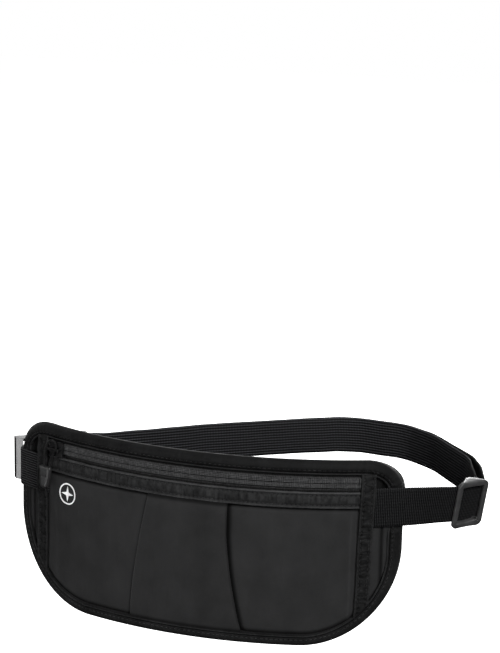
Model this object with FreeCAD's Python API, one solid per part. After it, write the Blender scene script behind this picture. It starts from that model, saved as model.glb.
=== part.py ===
"""Money belt: a slim zipped pouch sewn to an adjustable waist strap with a side-release buckle.

Frame: +Z is up, -Y is the pouch's front and +X is the wearer-facing view's right hand side.
The origin is the middle of the waist loop: on the pouch's middle plane, half way between the
pouch and the back of the strap, at the height of the webbing's middle. Units are millimetres.

The pouch is bent round the waist, so its layers are slabs of coaxial cylinders. "Depth" is
measured inwards from the outer cylinder, and "arc" is the distance along it from the middle.
"""
import FreeCAD, Part
import math
import os
from FreeCAD import Placement, Rotation, Vector

# pouch
POUCH_RADIUS = 245.0
POUCH_FRONT_Y = -100.0
POUCH_TOP = 32.0
POUCH_BOTTOM = -87.0
POUCH_HALF_ARC = 132.0
TOP_CORNER = 21.0
LOWER_CORNER_WIDTH = 58.0
LOWER_CORNER_HEIGHT = 60.0
RIM_WIDTH = 8.5
BINDING_WIDTH = 7.0
RIM_END_Z = 16.5

# depth of each layer of the pouch: (front, back)
PLEAT_DEPTH = (0.0, 1.0)
PANEL_DEPTH = (1.2, 2.2)
LINING_DEPTH = (11.2, 11.8)
PADDING_DEPTH = (11.9, 13.7)
BACK_DEPTH = (13.8, 15.0)
BINDING_DEPTH = (1.2, 14.6)
RIM_DEPTH = (-0.6, 15.4)
RIM_CREST = (1.6, 7.0)
WEBBING_DEPTH = (-0.3, 1.1)
BAND_DEPTH = (-2.2, -0.7)
PRINT_DEPTH = (0.9, 1.2)

# zip and the facing band under it
ZIP_Z = 18.0
COIL_INNER = 0.4
COIL_OUTER = 2.8
COIL_DEPTH = (-0.6, 1.0)
TAPE_DEPTH = (1.2, 1.9)
TAPE_LOWER_Z = (8.2, 15.5)
TAPE_UPPER_Z = (20.5, 23.4)
FACING_Z = (1.8, 12.3)
ZIP_HALF_ARC = 104.6
TAPE_HALF_ARC = 107.0
STOP_LENGTH = 1.8
SLIDER_ARC = -96.3

# seams on the front
BAND_INNER_ARC = 105.0
BAND_OUTER_ARC = 114.5
BAND_BOTTOM = -62.0
PLEAT_TOP_HALF = 26.0
PLEAT_BOTTOM_HALF = 38.5
SIDE_PANEL_UNDERLAP = 14.0
MARK_ARC = -88.6
MARK_Z = -10.5
MARK_RADIUS = 7.0
MARK_RING = 0.9
STAR_LONG = 5.0
STAR_SHORT = 1.5

# webbing, which tilts a little across the body
WEBBING_WIDTH = 25.0
WEBBING_THICK = 1.3
LAYER_STEP = 1.6
STRAP_TILT = -1.0
STRAP_LIFT = 0.1

# tri-glide adjuster: it rides on an arc of the webbing
RUN_RADIUS = 90.0
ADJUSTER_HEADING = 39.4
ADJUSTER_CENTRE = Vector(163.1, -42.5, 0)
ADJUSTER_HALF_LENGTH = 9.0
ADJUSTER_HALF_HEIGHT = 16.2
SLOT_HALF_HEIGHT = 13.3
GUARD_BAR = 3.8
GUARD_FACE = -3.4
GUARD_BACK = -0.8
FRAME_BACK = 5.5
CENTRE_BAR_Y = 4.1
CENTRE_BAR_RADIUS = 1.6
LOOP_GAP = 0.1
BEND_RUN = 6.0
PIECE_GAP = 0.2

# side-release buckle, in its own frame: x from the socket's end to the plug's bar
BUCKLE_HEADING = 36.5
BUCKLE_END = Vector(-137.0, -50.0, 0)
BUCKLE_HALF_HEIGHT = 15.5
BUCKLE_HALF_THICK = 4.6
END_PLATE = 4.2
SOCKET_BAR_X = 9.5
BAR_RADIUS = 1.7
SOCKET_START = 13.6
SOCKET_END = 35.0
SOCKET_WALL = 1.9
CAVITY_HALF_HEIGHT = 14.2
PLUG_TIP = 17.0
SHOULDER = 4.0
PLUG_BAR_X = 47.0
ARM_HALF_THICK = 2.2
HOOK_X = (19.0, 26.0)
HOOK_TOP = 13.9
WINDOW_X = (18.0, 26.6)
FIT = 0.3

# zip pull: a cord looped through the slider's bridge, with a moulded grip
CORD_RADIUS = 0.8
CORD_Y = -3.5
GRIP_TOP = 5.1

FACE_LIFT = Vector(0, 0, 1)


def arc_angle(arc):
    return arc / POUCH_RADIUS


def on_pouch(arc, depth, z=0.0):
    radius = POUCH_RADIUS - depth
    angle = arc_angle(arc)
    y_centre = POUCH_FRONT_Y + POUCH_RADIUS
    return Vector(radius * math.sin(angle), y_centre - radius * math.cos(angle), z)


def arc_slab(depth, arc, z):
    """A slab between two depths, two arc positions and two heights."""
    middle = (arc[0] + arc[1]) / 2
    front = Part.Arc(*[on_pouch(a, depth[0], z[0]) for a in (arc[0], middle, arc[1])])
    back = Part.Arc(*[on_pouch(a, depth[1], z[0]) for a in (arc[1], middle, arc[0])])
    right = Part.LineSegment(on_pouch(arc[1], depth[0], z[0]), on_pouch(arc[1], depth[1], z[0]))
    left = Part.LineSegment(on_pouch(arc[0], depth[1], z[0]), on_pouch(arc[0], depth[0], z[0]))
    wire = Part.Wire([curve.toShape() for curve in (front, right, back, left)])
    return Part.Face(wire).extrude(FACE_LIFT * (z[1] - z[0]))


def outline_prism(inset, top_inset=None):
    """The pouch's outline seen from the front, as a prism along Y."""
    half = POUCH_RADIUS * math.sin(arc_angle(POUCH_HALF_ARC)) - inset
    top = POUCH_TOP - (inset if top_inset is None else top_inset)
    bottom = POUCH_BOTTOM + inset
    corner = TOP_CORNER - inset * 0.6
    wide = LOWER_CORNER_WIDTH - inset
    tall = LOWER_CORNER_HEIGHT - inset
    spring_z = bottom + tall
    diagonal = math.sqrt(0.5)

    def at(x, z):
        return Vector(x, 0, z)

    def top_corner(side):
        mid = at(side * (half - corner * (1 - diagonal)), top - corner * (1 - diagonal))
        ends = [at(side * half, top - corner), at(side * (half - corner), top)]
        return Part.Arc(ends[0], mid, ends[1]).toShape()

    def low_corner(side):
        mid = at(side * (half - wide * (1 - diagonal)), bottom + tall * (1 - diagonal))
        centre = at(side * (half - wide), spring_z)
        ellipse = Part.Ellipse(centre + at(0, tall), centre + at(wide, 0), centre)
        start = ellipse.parameter(at(side * half, spring_z))
        end = ellipse.parameter(at(side * (half - wide), bottom))
        low, high = sorted((start, end))
        arc = Part.ArcOfEllipse(ellipse, low, high)
        if arc.value((low + high) / 2).distanceToPoint(mid) > tall:
            arc = Part.ArcOfEllipse(ellipse, high, low + 2 * math.pi)
        return arc.toShape()

    lines = [
        (at(-half + corner, top), at(half - corner, top)),
        (at(half, top - corner), at(half, spring_z)),
        (at(half - wide, bottom), at(-half + wide, bottom)),
        (at(-half, spring_z), at(-half, top - corner)),
    ]
    edges = [Part.LineSegment(*line).toShape() for line in lines]
    edges += [top_corner(1), top_corner(-1), low_corner(1), low_corner(-1)]
    wire = Part.Wire(Part.sortEdges(edges)[0])
    wire.translate(Vector(0, -150, 0))
    return Part.Face(wire).extrude(Vector(0, 200, 0))


def polygon_prism(points):
    """A prism along Y over (x, z) points."""
    corners = [Vector(x, -150, z) for x, z in points]
    return Part.Face(Part.makePolygon(corners + corners[:1])).extrude(Vector(0, 200, 0))


def box(x, y, z):
    return Part.makeBox(x[1] - x[0], y[1] - y[0], z[1] - z[0], Vector(x[0], y[0], z[0]))


def rod(x, y, radius, half_height):
    return Part.makeCylinder(radius, 2 * half_height, Vector(x, y, -half_height))


def fused(first, *rest):
    return first.multiFuse(list(rest)).removeSplitter()


def ribbon(points, radii, half_thick=WEBBING_THICK / 2, width=WEBBING_WIDTH):
    """Flat webbing on edge, along a plan path of straight runs joined by tangent arcs."""
    path = [Vector(*p, 0) for p in points]
    rows = {side: [] for side in (-1, 1)}

    def left_of(direction):
        return Vector(-direction.y, direction.x, 0)

    last = {side: None for side in rows}

    def start_line(point, direction):
        for side in rows:
            last[side] = point + left_of(direction) * (side * half_thick)

    def line_to(point, direction):
        for side, edges in rows.items():
            end = point + left_of(direction) * (side * half_thick)
            if (end - last[side]).Length > 1e-4:
                edges.append(Part.LineSegment(last[side], end).toShape())
                last[side] = end

    start_line(path[0], (path[1] - path[0]).normalize())
    for index, radius in enumerate(radii, 1):
        before = (path[index] - path[index - 1]).normalize()
        after = (path[index + 1] - path[index]).normalize()
        turn = math.atan2(before.cross(after).z, before.dot(after))
        reach = radius * math.tan(abs(turn) / 2)
        sign = 1 if turn > 0 else -1
        begin = path[index] - before * reach
        finish = path[index] + after * reach
        centre = begin + left_of(before) * (sign * radius)
        line_to(begin, before)
        outward = (path[index] - centre).normalize()
        for side, edges in rows.items():
            end = finish + left_of(after) * (side * half_thick)
            middle = centre + outward * (radius - sign * side * half_thick)
            edges.append(Part.Arc(last[side], middle, end).toShape())
            last[side] = end
    line_to(path[-1], (path[-1] - path[-2]).normalize())
    first_direction = (path[1] - path[0]).normalize()
    starts = {side: path[0] + left_of(first_direction) * (side * half_thick) for side in rows}
    caps = [Part.LineSegment(starts[1], starts[-1]).toShape()]
    caps.append(Part.LineSegment(last[1], last[-1]).toShape())
    wire = Part.Wire(Part.sortEdges(rows[1] + rows[-1] + caps)[0])
    solid = Part.Face(wire).extrude(FACE_LIFT * width)
    solid.translate(Vector(0, 0, -width / 2))
    return solid


def strap_frame(shape):
    """Tilts a strap piece from its level plan to how the belt hangs."""
    moved = shape.copy()
    moved.Placement = Placement(
        Vector(0, 0, STRAP_LIFT), Rotation(Vector(0, 1, 0), STRAP_TILT)
    ).multiply(moved.Placement)
    return moved


def turned(shape, heading, place):
    moved = shape.copy()
    moved.Placement = Placement(place, Rotation(Vector(0, 0, 1), heading)).multiply(moved.Placement)
    return moved


def plan_point(x, y, heading, place):
    """A point of a local plan frame, as (x, y) in the strap's level plan."""
    moved = Rotation(Vector(0, 0, 1), heading).multVec(Vector(x, y, 0)) + place
    return (moved.x, moved.y)


# ---------------------------------------------------------------- pouch


def front_layer(depth, arc, z, inset=BINDING_WIDTH):
    return arc_slab(depth, arc, z).common(outline_prism(inset, RIM_WIDTH))


def front_panel_centre():
    """The box pleat's face: narrow at the zip, wide at the bottom."""
    slab = front_layer(PLEAT_DEPTH, (-45, 45), (POUCH_BOTTOM, FACING_Z[0]))
    bottom = POUCH_BOTTOM - 1
    sides = [(-PLEAT_BOTTOM_HALF, bottom), (PLEAT_BOTTOM_HALF, bottom)]
    sides += [(PLEAT_TOP_HALF, FACING_Z[0]), (-PLEAT_TOP_HALF, FACING_Z[0])]
    return slab.common(polygon_prism(sides))


def front_panel_side(side):
    """A side of the front; its inner edge runs under the pleat."""
    inner = side * (PLEAT_TOP_HALF - SIDE_PANEL_UNDERLAP)
    arc = tuple(sorted((inner, side * POUCH_HALF_ARC)))
    return front_layer(PANEL_DEPTH, arc, (POUCH_BOTTOM, TAPE_LOWER_Z[0] - 0.1))


def wide_layer(depth, top):
    arc = (-POUCH_HALF_ARC, POUCH_HALF_ARC)
    return front_layer(depth, arc, (POUCH_BOTTOM, top))


def outline_ring(depth, inset, top_inset, z):
    arc = (-POUCH_HALF_ARC - 4, POUCH_HALF_ARC + 4)
    slab = arc_slab(depth, arc, z)
    return slab.common(outline_prism(0).cut(outline_prism(inset, top_inset)))


def bevel(depth, z, outward):
    """A cone about the pouch's axis, to slope the rim from (depth[0], z[0]) to (depth[1], z[1])."""
    slope = (depth[1] - depth[0]) / (z[1] - z[0])
    over = 2.0
    start = POUCH_RADIUS - depth[0]
    end = POUCH_RADIUS - depth[1] - slope * over
    base = Vector(0, POUCH_FRONT_Y + POUCH_RADIUS, z[0])
    cone = Part.makeCone(start, end, z[1] - z[0] + over, base)
    if outward:
        return Part.makeCylinder(POUCH_RADIUS + 10, z[1] - z[0] + over, base).cut(cone)
    return cone


def padded_rim():
    """The rim's front face leans back to a narrow top, and its back slopes down to the panel."""
    ring = outline_ring(RIM_DEPTH, BINDING_WIDTH, RIM_WIDTH, (RIM_END_Z, POUCH_TOP + 1))
    front = bevel((RIM_DEPTH[0], RIM_CREST[0]), (POUCH_TOP - 3.0, POUCH_TOP), True)
    back = bevel((RIM_DEPTH[1], RIM_CREST[1]), (POUCH_TOP - RIM_WIDTH + 1.0, POUCH_TOP), False)
    return ring.cut(front).cut(back)


def edge_binding():
    return outline_ring(BINDING_DEPTH, BINDING_WIDTH, RIM_WIDTH, (POUCH_BOTTOM - 1, RIM_END_Z))


def side_band(side):
    """The folded tape over the ends of the zip and the webbing."""
    arc = tuple(sorted((side * BAND_INNER_ARC, side * BAND_OUTER_ARC)))
    return arc_slab(BAND_DEPTH, arc, (BAND_BOTTOM, POUCH_TOP - RIM_WIDTH))


def printed_mark():
    """A plain ring with a four-pointed compass star."""
    centre = on_pouch(MARK_ARC, 0)
    disc = Part.makeCylinder(MARK_RADIUS, 200, Vector(centre.x, -150, MARK_Z), Vector(0, 1, 0))
    inner_radius = MARK_RADIUS - MARK_RING
    hole = Part.makeCylinder(inner_radius, 200, Vector(centre.x, -150, MARK_Z), Vector(0, 1, 0))
    points = []
    for step in range(8):
        reach = STAR_SHORT if step % 2 else STAR_LONG
        angle = math.radians(45 * step)
        points.append((centre.x + reach * math.cos(angle), MARK_Z + reach * math.sin(angle)))
    arc = (MARK_ARC - 2 * MARK_RADIUS, MARK_ARC + 2 * MARK_RADIUS)
    slab = arc_slab(PRINT_DEPTH, arc, (MARK_Z - 2 * MARK_RADIUS, MARK_Z + 2 * MARK_RADIUS))
    return Part.makeCompound([slab.common(disc.cut(hole)), slab.common(polygon_prism(points))])


# ---------------------------------------------------------------- zip


def coil_half(side):
    z = sorted((ZIP_Z + side * COIL_INNER, ZIP_Z + side * COIL_OUTER))
    end = ZIP_HALF_ARC - STOP_LENGTH
    return arc_slab(COIL_DEPTH, (-end, end), z)


def zip_top_stops():
    """Two stops at the closed end, one on each half of the coil."""
    arc = (-ZIP_HALF_ARC, -ZIP_HALF_ARC + STOP_LENGTH - 0.1)
    halves = [sorted((ZIP_Z + s * COIL_INNER, ZIP_Z + s * COIL_OUTER)) for s in (-1, 1)]
    return Part.makeCompound([arc_slab(COIL_DEPTH, arc, z) for z in halves])


def zip_bottom_stop():
    arc = (ZIP_HALF_ARC - STOP_LENGTH + 0.1, ZIP_HALF_ARC)
    return arc_slab(COIL_DEPTH, arc, (ZIP_Z - COIL_OUTER, ZIP_Z + COIL_OUTER))


def at_slider(shape):
    """From the slider's own frame, with y as depth, to its place on the zip."""
    heading = math.degrees(arc_angle(SLIDER_ARC))
    return turned(shape, heading, on_pouch(SLIDER_ARC, 0, ZIP_Z))


def zip_slider():
    front = box((-5.5, 5.5), (-2.6, -1.2), (-5.0, 5.0))
    back = box((-5.5, 5.5), (2.6, 3.8), (-5.0, 5.0))
    wedge = box((-4.5, -1.0), (-1.2, 2.6), (-0.3, 0.3))
    flanges = [box((-5.5, 5.5), (-1.2, 0.6), z) for z in ((-5.0, -4.2), (4.2, 5.0))]
    feet = [box(x, (-5.6, -2.6), (-1.0, 1.0)) for x in ((-4.6, -3.4), (3.4, 4.6))]
    bridge = box((-4.6, 4.6), (-5.6, -4.4), (-1.0, 1.0))
    return at_slider(fused(front, back, wedge, bridge, *flanges, *feet))


def pull_route():
    """The cord's route on the slider's face as (x, z): up one leg, through the bridge, down."""
    end_z = GRIP_TOP - ZIP_Z
    legs = [(-9.4, end_z), (-9.8, -6.3), (-8.2, 0.4), (-5.0, 5.4), (0.6, 5.0)]
    legs += [(0.9, -0.6), (-3.9, -6.6), (-4.6, end_z)]
    return [Vector(x, CORD_Y, z) for x, z in legs]


def tangent_path(points):
    """Straight runs joined by arcs as large as the runs allow."""
    edges = []
    at = points[0]
    for before, corner, after in zip(points, points[1:], points[2:]):
        incoming = (corner - before).normalize()
        outgoing = (after - corner).normalize()
        reach = 0.45 * min((corner - before).Length, (after - corner).Length)
        turn = incoming.getAngle(outgoing)
        radius = reach / math.tan(turn / 2)
        print("cord bend radius %.1f" % radius)
        begin = corner - incoming * reach
        end = corner + outgoing * reach
        inward = (outgoing - incoming).normalize()
        middle = corner + inward * (radius / math.cos(turn / 2) - radius)
        edges.append(Part.LineSegment(at, begin).toShape())
        edges.append(Part.Arc(begin, middle, end).toShape())
        at = end
    edges.append(Part.LineSegment(at, points[-1]).toShape())
    return Part.Wire(edges)


def zip_pull_cord():
    points = pull_route()
    path = tangent_path(points)
    direction = points[1] - points[0]
    section = Part.Wire(Part.makeCircle(CORD_RADIUS, points[0], direction))
    tube = path.makePipeShell([section], True, True)
    expected = math.pi * CORD_RADIUS**2 * path.Length
    print("cord %.1f mm long, volume ratio %.4f" % (path.Length, tube.Volume / expected))
    return at_slider(tube)


def zip_pull_grip():
    """A moulded tongue, narrower towards its lower end."""
    top = GRIP_TOP - ZIP_Z
    outline = [(-12.3, top), (-3.3, top), (-3.5, top - 4.0), (-5.0, top - 9.5)]
    outline += [(-6.4, top - 13.0), (-7.8, top - 14.5), (-11.0, top - 14.5), (-12.2, top - 12.0)]
    corners = [Vector(x, CORD_Y - 1.8, z) for x, z in outline]
    face = Part.Face(Part.makePolygon(corners + corners[:1]))
    return at_slider(face.extrude(Vector(0, 2.9, 0)))


# ---------------------------------------------------------------- webbing


def run_start():
    """Where the webbing leaves the pouch on the right, and its heading there."""
    arc = 125.0
    point = on_pouch(arc, (WEBBING_DEPTH[0] + WEBBING_DEPTH[1]) / 2)
    return point, math.degrees(arc_angle(arc)), arc


def outer_plan():
    """The running webbing's plan from the pouch, through the adjuster, to the buckle's bar."""
    start, heading, _ = run_start()
    first = (start.x, start.y)
    entry = (158.7, start.y + (158.7 - start.x) * math.tan(math.radians(heading)))
    points = [first, entry, (171.4, -34.7), (167.5, -8.0), (158.5, 17.0), (125.5, 62.5)]
    points += [(102.5, 81.5), (60.5, 87.5), (22.5, 66.0), (-31.5, 31.0), plan_buckle(85.0, 0)]
    radii = [RUN_RADIUS, 9.0, 50.0, 60.0, 60.0, 38.0, 45.0, 200.0, 150.0]
    return points, radii


def plan_buckle(x, y):
    return plan_point(x, y, BUCKLE_HEADING, BUCKLE_END)


def along(start, end, distance):
    """The plan point at a distance from the start of a straight run."""
    run = Vector(end[0] - start[0], end[1] - start[1], 0).normalize() * distance
    return (start[0] + run.x, start[1] + run.y)


def shift_left(points, distance):
    """The same polyline moved to the left of its travel, towards the waist."""
    path = [Vector(*p, 0) for p in points]
    headings = [(b - a).normalize() for a, b in zip(path, path[1:])]
    shifted = []
    for index, point in enumerate(path):
        before = headings[max(index - 1, 0)]
        after = headings[min(index, len(headings) - 1)]
        normal = (Vector(-before.y, before.x, 0) + Vector(-after.y, after.x, 0)).normalize()
        cosine = normal.dot(Vector(-before.y, before.x, 0))
        moved = point + normal * (distance / cosine)
        shifted.append((moved.x, moved.y))
    return shifted


def strap_front_run():
    """From under the right band, over the pouch's end, through the adjuster and round its bend."""
    _, _, arc = run_start()
    points, radii = outer_plan()
    after_bend = along(points[2], points[3], BEND_RUN)
    free = ribbon(points[:3] + [after_bend], radii[:2])
    sewn = arc_slab((-0.25, 1.05), (BAND_INNER_ARC, arc), (-WEBBING_WIDTH / 2, WEBBING_WIDTH / 2))
    return strap_frame(fused(free, sewn))


def strap_outer_layer():
    points, radii = outer_plan()
    start = along(points[2], points[3], BEND_RUN + PIECE_GAP)
    return strap_frame(ribbon([start] + points[3:], radii[2:]))


def strap_inner_layer():
    """The returning layer: flat against the outer one at the back, free of it on the right."""
    points, radii = outer_plan()
    back = shift_left(points[5:], LAYER_STEP)
    side = [(158.5, 4.0), (153.5, 17.0)]
    return strap_frame(ribbon(side + back, [30.0] + radii[4:]))


def strap_adjuster_end():
    """The returning layer's sewn end, looped round the adjuster's centre bar."""

    def local(x, y):
        return plan_point(x, y, ADJUSTER_HEADING, ADJUSTER_CENTRE)

    loop = CENTRE_BAR_RADIUS + LOOP_GAP + WEBBING_THICK / 2
    near = CENTRE_BAR_Y - loop
    far = CENTRE_BAR_Y + loop
    points = [local(2.0, near), local(-loop, near), local(-loop, far), local(9.3, far)]
    points += [(158.55, 3.85)]
    return strap_frame(ribbon(points, [loop, loop, 5.0]))


def strap_buckle_loop():
    """Both layers' last stretch, joined by the fold round the plug's bar."""
    loop = BAR_RADIUS + LOOP_GAP + WEBBING_THICK / 2
    points = [plan_buckle(84.9, 0), plan_buckle(61.0, 0), plan_buckle(53.0, loop)]
    points += [plan_buckle(PLUG_BAR_X - loop, loop), plan_buckle(PLUG_BAR_X - loop, -loop)]
    points += [plan_buckle(53.0, -loop), plan_buckle(61.0, -LAYER_STEP)]
    points += [plan_buckle(84.9, -LAYER_STEP)]
    return strap_frame(ribbon(points, [20.0, 20.0, loop, loop, 20.0, 20.0]))


def buckle_tab():
    """The short webbing on the left: over the pouch's end and round the socket's bar."""
    half = WEBBING_WIDTH / 2
    sewn = arc_slab((-0.25, 1.05), (-128.0, -BAND_INNER_ARC), (-half, half))
    leave = on_pouch(-128.0, 0.4)
    loop = BAR_RADIUS + LOOP_GAP + WEBBING_THICK / 2
    left = SOCKET_BAR_X - loop
    right = SOCKET_BAR_X + loop
    points = [(leave.x, leave.y), (-126.85, -64.2), plan_buckle(left, -5.0)]
    points += [plan_buckle(left, loop), plan_buckle(right, loop), plan_buckle(right, -7.0)]
    free = ribbon(points, [2.5, 4.0, loop, loop])
    return strap_frame(fused(free, sewn))


# ---------------------------------------------------------------- adjuster and buckle


def adjuster():
    """A tri-glide: two guard bars in front of the webbing and a centre bar behind it."""
    length = ADJUSTER_HALF_LENGTH
    high = (SLOT_HALF_HEIGHT, ADJUSTER_HALF_HEIGHT)
    low = (-ADJUSTER_HALF_HEIGHT, -SLOT_HALF_HEIGHT)
    rails = [box((-length, length), (GUARD_FACE, FRAME_BACK), z) for z in (high, low)]
    tall = (-ADJUSTER_HALF_HEIGHT, ADJUSTER_HALF_HEIGHT)
    inner = length - GUARD_BAR
    guards = [box(x, (GUARD_FACE, GUARD_BACK), tall) for x in ((-length, -inner), (inner, length))]
    centre = rod(0, CENTRE_BAR_Y - 0.2, CENTRE_BAR_RADIUS, ADJUSTER_HALF_HEIGHT)
    centre.translate(Vector(0, 0.2, 0))
    frame = fused(rails[0], rails[1], *guards, centre)
    return strap_frame(turned(frame, ADJUSTER_HEADING, ADJUSTER_CENTRE))


def at_buckle(shape):
    return strap_frame(turned(shape, BUCKLE_HEADING, BUCKLE_END))


def end_rails(x):
    """The two rails that carry a webbing bar."""
    thick = (-BUCKLE_HALF_THICK + 0.4, BUCKLE_HALF_THICK - 0.4)
    high = (SLOT_HALF_HEIGHT, BUCKLE_HALF_HEIGHT)
    low = (-BUCKLE_HALF_HEIGHT, -SLOT_HALF_HEIGHT)
    return [box(x, thick, z) for z in (high, low)]


def buckle_socket():
    tall = (-BUCKLE_HALF_HEIGHT, BUCKLE_HALF_HEIGHT)
    thick = (-BUCKLE_HALF_THICK, BUCKLE_HALF_THICK)
    plate = box((0, END_PLATE), thick, tall)
    bar = rod(SOCKET_BAR_X, 0, BAR_RADIUS, BUCKLE_HALF_HEIGHT - 0.5)
    body = box((SOCKET_START, SOCKET_END), thick, tall)
    half_gap = BUCKLE_HALF_THICK - SOCKET_WALL
    cavity = box(
        (SOCKET_START + 2.0, SOCKET_END + 1),
        (-half_gap, half_gap),
        (-CAVITY_HALF_HEIGHT, CAVITY_HALF_HEIGHT),
    )
    windows = box(WINDOW_X, (-half_gap, half_gap), (-BUCKLE_HALF_HEIGHT - 1, BUCKLE_HALF_HEIGHT + 1))
    body = body.cut(cavity).cut(windows)
    return at_buckle(fused(body, plate, bar, *end_rails((END_PLATE - 0.5, SOCKET_START + 0.5))))


def buckle_plug():
    tall = (-BUCKLE_HALF_HEIGHT, BUCKLE_HALF_HEIGHT)
    shoulder_start = SOCKET_END + FIT
    shoulder_end = shoulder_start + SHOULDER
    thick = (-BUCKLE_HALF_THICK, BUCKLE_HALF_THICK)
    shoulder = box((shoulder_start, shoulder_end), thick, tall)
    tongue = box((PLUG_TIP, shoulder_start + 1), (-2.2, 2.2), (-4.0, 4.0))
    root = box((SOCKET_END - 3.0, shoulder_start + 1), (-2.2, 2.2), (-7.8, 7.8))
    bar = rod(PLUG_BAR_X, 0, BAR_RADIUS, BUCKLE_HALF_HEIGHT - 0.5)
    rails = end_rails((shoulder_end - 0.5, PLUG_BAR_X + BAR_RADIUS))
    return at_buckle(fused(shoulder, tongue, root, bar, *rails))


def latch_arm(side):
    """A springy arm; its hook stands in the socket's window and is squeezed to let go."""
    thick = (-ARM_HALF_THICK, ARM_HALF_THICK)
    beam = box((PLUG_TIP, SOCKET_END - FIT), thick, (8.5, 10.8))
    hook = box(HOOK_X, thick, (10.5, HOOK_TOP))
    shape = fused(beam, hook)
    if side < 0:
        shape.rotate(Vector(0, 0, 0), Vector(1, 0, 0), 180)
    return at_buckle(shape)


def single(shape):
    """The one solid of a shape that holds one, or the shape as it is."""
    return shape.Solids[0] if len(shape.Solids) == 1 else shape


NODES = {
    "back_panel": wide_layer(BACK_DEPTH, POUCH_TOP),
    "back_padding": wide_layer(PADDING_DEPTH, POUCH_TOP),
    "pocket_lining": wide_layer(LINING_DEPTH, POUCH_TOP),
    "front_panel_left": front_panel_side(-1),
    "front_panel_centre": front_panel_centre(),
    "front_panel_right": front_panel_side(1),
    "zip_facing_band": arc_slab(PLEAT_DEPTH, (-ZIP_HALF_ARC, ZIP_HALF_ARC), FACING_Z),
    "zip_tape_lower": arc_slab(TAPE_DEPTH, (-TAPE_HALF_ARC, TAPE_HALF_ARC), TAPE_LOWER_Z),
    "zip_tape_upper": arc_slab(TAPE_DEPTH, (-TAPE_HALF_ARC, TAPE_HALF_ARC), TAPE_UPPER_Z),
    "zip_coil_lower": coil_half(-1),
    "zip_coil_upper": coil_half(1),
    "zip_top_stops": zip_top_stops(),
    "zip_bottom_stop": zip_bottom_stop(),
    "zip_slider": zip_slider(),
    "zip_pull_cord": zip_pull_cord(),
    "zip_pull_grip": zip_pull_grip(),
    "padded_rim": padded_rim(),
    "edge_binding": edge_binding(),
    "side_band_left": side_band(-1),
    "side_band_right": side_band(1),
    "printed_mark": printed_mark(),
    "buckle_tab": buckle_tab(),
    "strap_front_run": strap_front_run(),
    "strap_outer_layer": strap_outer_layer(),
    "strap_inner_layer": strap_inner_layer(),
    "strap_adjuster_end": strap_adjuster_end(),
    "strap_buckle_loop": strap_buckle_loop(),
    "adjuster": adjuster(),
    "buckle_socket": buckle_socket(),
    "buckle_plug": buckle_plug(),
    "latch_arm_upper": latch_arm(1),
    "latch_arm_lower": latch_arm(-1),
}

os.makedirs("parts", exist_ok=True)
for name, shape in NODES.items():
    part = single(shape)
    box_of = part.BoundBox
    print(
        "%-20s solids %d valid %s volume %8.1f  x %.1f %.1f  y %.1f %.1f  z %.1f %.1f"
        % (name, len(part.Solids), part.isValid(), part.Volume, box_of.XMin, box_of.XMax,
           box_of.YMin, box_of.YMax, box_of.ZMin, box_of.ZMax)
    )
    part.exportStep(os.path.join("parts", name + ".step"))
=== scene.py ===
"""Money belt: the finished look of a slim zipped pouch on an adjustable waist strap.

Lengths are in millimetres in the functions below and become metres in `metres()`. The pouch is
bent round a vertical axis: a point on it has a plan x, a height z and a depth behind its front.
"""
from math import atan2, copysign, cos, dist, exp, hypot, pi, radians, sin, sqrt, tan

import bmesh
import bpy
import numpy as np
from mathutils import Matrix, Vector, noise


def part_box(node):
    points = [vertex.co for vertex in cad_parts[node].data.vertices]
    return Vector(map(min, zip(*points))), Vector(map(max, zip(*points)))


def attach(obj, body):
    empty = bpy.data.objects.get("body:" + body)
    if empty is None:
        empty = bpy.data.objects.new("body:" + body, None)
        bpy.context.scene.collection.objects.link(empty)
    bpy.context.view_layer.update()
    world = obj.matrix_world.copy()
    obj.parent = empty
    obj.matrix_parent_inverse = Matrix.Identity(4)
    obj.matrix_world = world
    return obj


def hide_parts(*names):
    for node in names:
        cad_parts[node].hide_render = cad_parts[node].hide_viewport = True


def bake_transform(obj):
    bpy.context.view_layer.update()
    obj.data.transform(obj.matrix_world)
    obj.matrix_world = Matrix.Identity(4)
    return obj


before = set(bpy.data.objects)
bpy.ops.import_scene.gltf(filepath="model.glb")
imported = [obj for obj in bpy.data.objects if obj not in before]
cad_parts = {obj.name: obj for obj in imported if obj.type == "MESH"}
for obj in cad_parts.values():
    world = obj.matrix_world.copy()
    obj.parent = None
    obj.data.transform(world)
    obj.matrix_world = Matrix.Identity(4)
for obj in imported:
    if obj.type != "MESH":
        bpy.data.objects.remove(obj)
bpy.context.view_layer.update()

# pouch, as in the design
RADIUS = 245.0
FRONT_Y = -100.0
AXIS_Y = FRONT_Y + RADIUS
TOP = 32.0
BOTTOM = -88.2
HALF_LENGTH = RADIUS * sin(132.0 / RADIUS)
TOP_CORNER = 22.0
LOWER_CORNER = (57.0, 61.2)
RIM_WIDTH = 8.5
BINDING_WIDTH = 7.0
RIM_END_Z = 16.5
EDGE_DEPTH = 14.3
FACING_Z = (1.8, 12.3)
SIDE_TAPE_ARC = 109.75
SIDE_TAPE_HALF = 4.75
STITCH_PITCH = 3.0
SEAM_INSET = 2.75
SIDES = {-1: "left", 1: "right"}

# webbing and its hardware, as in the design
WEBBING = (25.0, 1.3)
LAYER_STEP = 1.6
STRAP_TILT = radians(1.0)
STRAP_LIFT = 0.1
RUN_RADIUS = 90.0
ADJUSTER_HEADING = radians(39.4)
ADJUSTER_CENTRE = (163.1, -42.5)
ADJUSTER_LEAN = radians(12.0)
ADJUSTER_YAW = radians(6.0)
ADJUSTER_BAR_Y = 4.1
BUCKLE_HEADING = radians(36.5)
BUCKLE_END = (-137.0, -50.0)
SOCKET_BAR_X = 9.5
PLUG_BAR_X = 47.0
LOOP_RADIUS = 2.45
SEWN_DEPTH = 0.4
RIB_PITCH = 1.15
PATH_STEP = 0.2875

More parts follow.
